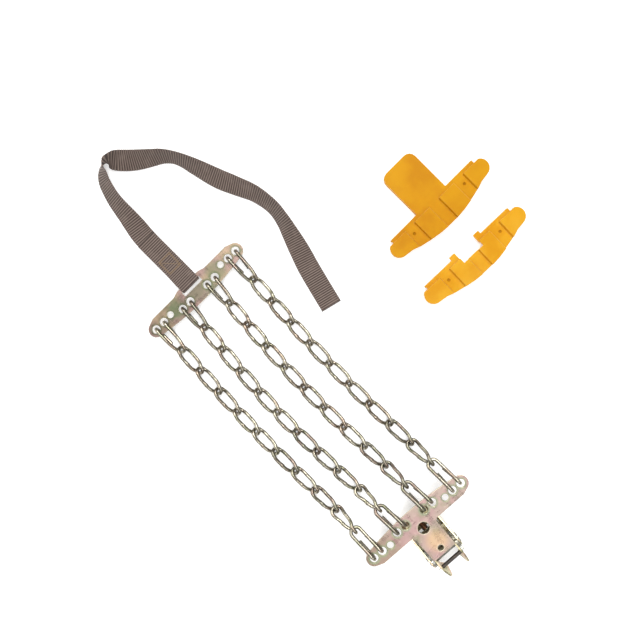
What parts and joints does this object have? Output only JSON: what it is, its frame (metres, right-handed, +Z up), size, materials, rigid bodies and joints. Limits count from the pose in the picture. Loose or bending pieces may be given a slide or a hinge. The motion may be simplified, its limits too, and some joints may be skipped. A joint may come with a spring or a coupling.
{
  "type": "tyre chain mat",
  "caption": "Emergency traction mat for a car wheel: parallel twisted-link chains between stamped plates, with a webbing strap, a ratchet tensioner and push-fit plastic pads.",
  "frame": {"origin": "middle of the mat and its two pads on the ground they lie on, the loose strap left out", "axes": "+X along the chains from the strap plate to the ratchet plate, +Y across them towards the loose pads, +Z up, the side that meets the tyre upwards"},
  "size_m": [0.6107, 0.4118, 0.0343],
  "materials": {
    "zinc_plate": "stamped steel, yellow zinc passivated, rosy and olive stains, satin",
    "chain_wire": "bent and welded wire, yellow zinc passivated, satin",
    "ratchet_steel": "pressed steel, yellow zinc passivated, satin",
    "spring_wire": "copper-washed spring steel",
    "webbing": "ribbed brown polyester webbing",
    "pad_plastic": "moulded orange-yellow plastic, fine texture"
  },
  "bodies": {
    "ratchet_plate": {"ratchet_plate": "zinc_plate", "ratchet_frame": "ratchet_steel", "guide_pin": "ratchet_steel"},
    "handle": {"ratchet_handle": "ratchet_steel"},
    "drive_pawl": {"drive_pawl": "ratchet_steel", "drive_spring": "spring_wire"},
    "lock_pawl": {"lock_pawl": "ratchet_steel", "lock_spring": "spring_wire"},
    "spindle": {"spindle_half_front": "ratchet_steel", "spindle_half_back": "ratchet_steel", "ratchet_wheel_left": "ratchet_steel", "ratchet_wheel_right": "ratchet_steel"},
    "row_11": {"chain_1_link_11": "chain_wire", "chain_2_link_11": "chain_wire", "chain_3_link_11": "chain_wire", "chain_4_link_11": "chain_wire"},
    "row_10": {"chain_1_link_10": "chain_wire", "chain_2_link_10": "chain_wire", "chain_3_link_10": "chain_wire", "chain_4_link_10": "chain_wire"},
    "row_09": {"chain_1_link_09": "chain_wire", "chain_2_link_09": "chain_wire", "chain_3_link_09": "chain_wire", "chain_4_link_09": "chain_wire"},
    "row_08": {"chain_1_link_08": "chain_wire", "chain_2_link_08": "chain_wire", "chain_3_link_08": "chain_wire", "chain_4_link_08": "chain_wire"},
    "row_07": {"chain_1_link_07": "chain_wire", "chain_2_link_07": "chain_wire", "chain_3_link_07": "chain_wire", "chain_4_link_07": "chain_wire"},
    "row_06": {"chain_1_link_06": "chain_wire", "chain_2_link_06": "chain_wire", "chain_3_link_06": "chain_wire", "chain_4_link_06": "chain_wire"},
    "row_05": {"chain_1_link_05": "chain_wire", "chain_2_link_05": "chain_wire", "chain_3_link_05": "chain_wire", "chain_4_link_05": "chain_wire"},
    "row_04": {"chain_1_link_04": "chain_wire", "chain_2_link_04": "chain_wire", "chain_3_link_04": "chain_wire", "chain_4_link_04": "chain_wire"},
    "row_03": {"chain_1_link_03": "chain_wire", "chain_2_link_03": "chain_wire", "chain_3_link_03": "chain_wire", "chain_4_link_03": "chain_wire"},
    "row_02": {"chain_1_link_02": "chain_wire", "chain_2_link_02": "chain_wire", "chain_3_link_02": "chain_wire", "chain_4_link_02": "chain_wire"},
    "row_01": {"chain_1_link_01": "chain_wire", "chain_2_link_01": "chain_wire", "chain_3_link_01": "chain_wire", "chain_4_link_01": "chain_wire"},
    "strap_plate": {"strap_plate": "zinc_plate", "strap": "webbing"},
    "tongue_pad": {"tongue_pad": "pad_plastic"},
    "notched_pad": {"notched_pad": "pad_plastic"}
  },
  "joints": [
    {"name": "row_11_fold", "type": "hinge", "parent": "ratchet_plate", "child": "row_11", "pos_m": [0.14134, -0.13386, 0.02685], "axis": [0.0698, 0.9976, 0], "range_deg": [0, 5]},
    {"name": "row_10_fold", "type": "hinge", "parent": "row_11", "child": "row_10", "pos_m": [0.10982, -0.13343, 0.0215], "axis": [0.0634, 0.998, 0], "range_deg": [-6, 20]},
    {"name": "row_09_fold", "type": "hinge", "parent": "row_10", "child": "row_09", "pos_m": [0.08118, -0.13304, 0.0078], "axis": [0.0576, 0.9983, 0], "range_deg": [-25, 6]},
    {"name": "row_08_fold", "type": "hinge", "parent": "row_09", "child": "row_08", "pos_m": [0.04943, -0.13261, 0.0063], "axis": [0.0513, 0.9987, 0], "range_deg": [-6, 16]},
    {"name": "row_07_fold", "type": "hinge", "parent": "row_08", "child": "row_07", "pos_m": [0.01768, -0.13218, 0.0063], "axis": [0.0449, 0.999, 0], "range_deg": [-6, 16]},
    {"name": "row_06_fold", "type": "hinge", "parent": "row_07", "child": "row_06", "pos_m": [-0.01407, -0.13175, 0.0063], "axis": [0.0385, 0.9993, 0], "range_deg": [-6, 16]},
    {"name": "row_05_fold", "type": "hinge", "parent": "row_06", "child": "row_05", "pos_m": [-0.04582, -0.13132, 0.0063], "axis": [0.0321, 0.9995, 0], "range_deg": [-6, 16]},
    {"name": "row_04_fold", "type": "hinge", "parent": "row_05", "child": "row_04", "pos_m": [-0.07757, -0.13089, 0.0063], "axis": [0.0257, 0.9997, 0], "range_deg": [-6, 16]},
    {"name": "row_03_fold", "type": "hinge", "parent": "row_04", "child": "row_03", "pos_m": [-0.10932, -0.13046, 0.0063], "axis": [0.0193, 0.9998, 0], "range_deg": [-6, 16]},
    {"name": "row_02_fold", "type": "hinge", "parent": "row_03", "child": "row_02", "pos_m": [-0.14107, -0.13003, 0.0063], "axis": [0.0129, 0.9999, 0], "range_deg": [-6, 16]},
    {"name": "row_01_fold", "type": "hinge", "parent": "row_02", "child": "row_01", "pos_m": [-0.17282, -0.12959, 0.0063], "axis": [0.0065, 1, 0], "range_deg": [-9, 12]},
    {"name": "strap_plate_fold", "type": "hinge", "parent": "row_01", "child": "strap_plate", "pos_m": [-0.20482, -0.12916, 0.00715], "axis": [0, 1, 0], "range_deg": [0, 5]},
    {"name": "handle_swing", "type": "hinge", "parent": "ratchet_plate", "child": "handle", "pos_m": [0.19321, -0.13749, 0.0143], "axis": [-0.0698, -0.9976, 0], "range_deg": [0, 170]},
    {"name": "spindle_turn", "type": "hinge", "parent": "ratchet_plate", "child": "spindle", "pos_m": [0.19321, -0.13749, 0.0143], "axis": [0.0698, 0.9976, 0], "continuous": true},
    {"name": "lock_pawl_slide", "type": "slide", "parent": "ratchet_plate", "child": "lock_pawl", "axis": [-0.9976, 0.0698, 0], "range_m": [0, 0.004], "stiffness_N_per_m": 300, "springref_m": -0.003},
    {"name": "drive_pawl_slide", "type": "slide", "parent": "handle", "child": "drive_pawl", "axis": [-0.9976, 0.0698, 0], "range_m": [0, 0.004], "stiffness_N_per_m": 300, "springref_m": -0.003},
    {"name": "tongue_pad_lift", "type": "slide", "parent": "ratchet_plate", "child": "tongue_pad", "axis": [0, 0, 1], "range_m": [0, 0.06]},
    {"name": "notched_pad_lift", "type": "slide", "parent": "ratchet_plate", "child": "notched_pad", "axis": [0, 0, 1], "range_m": [0, 0.06]}
  ]
}
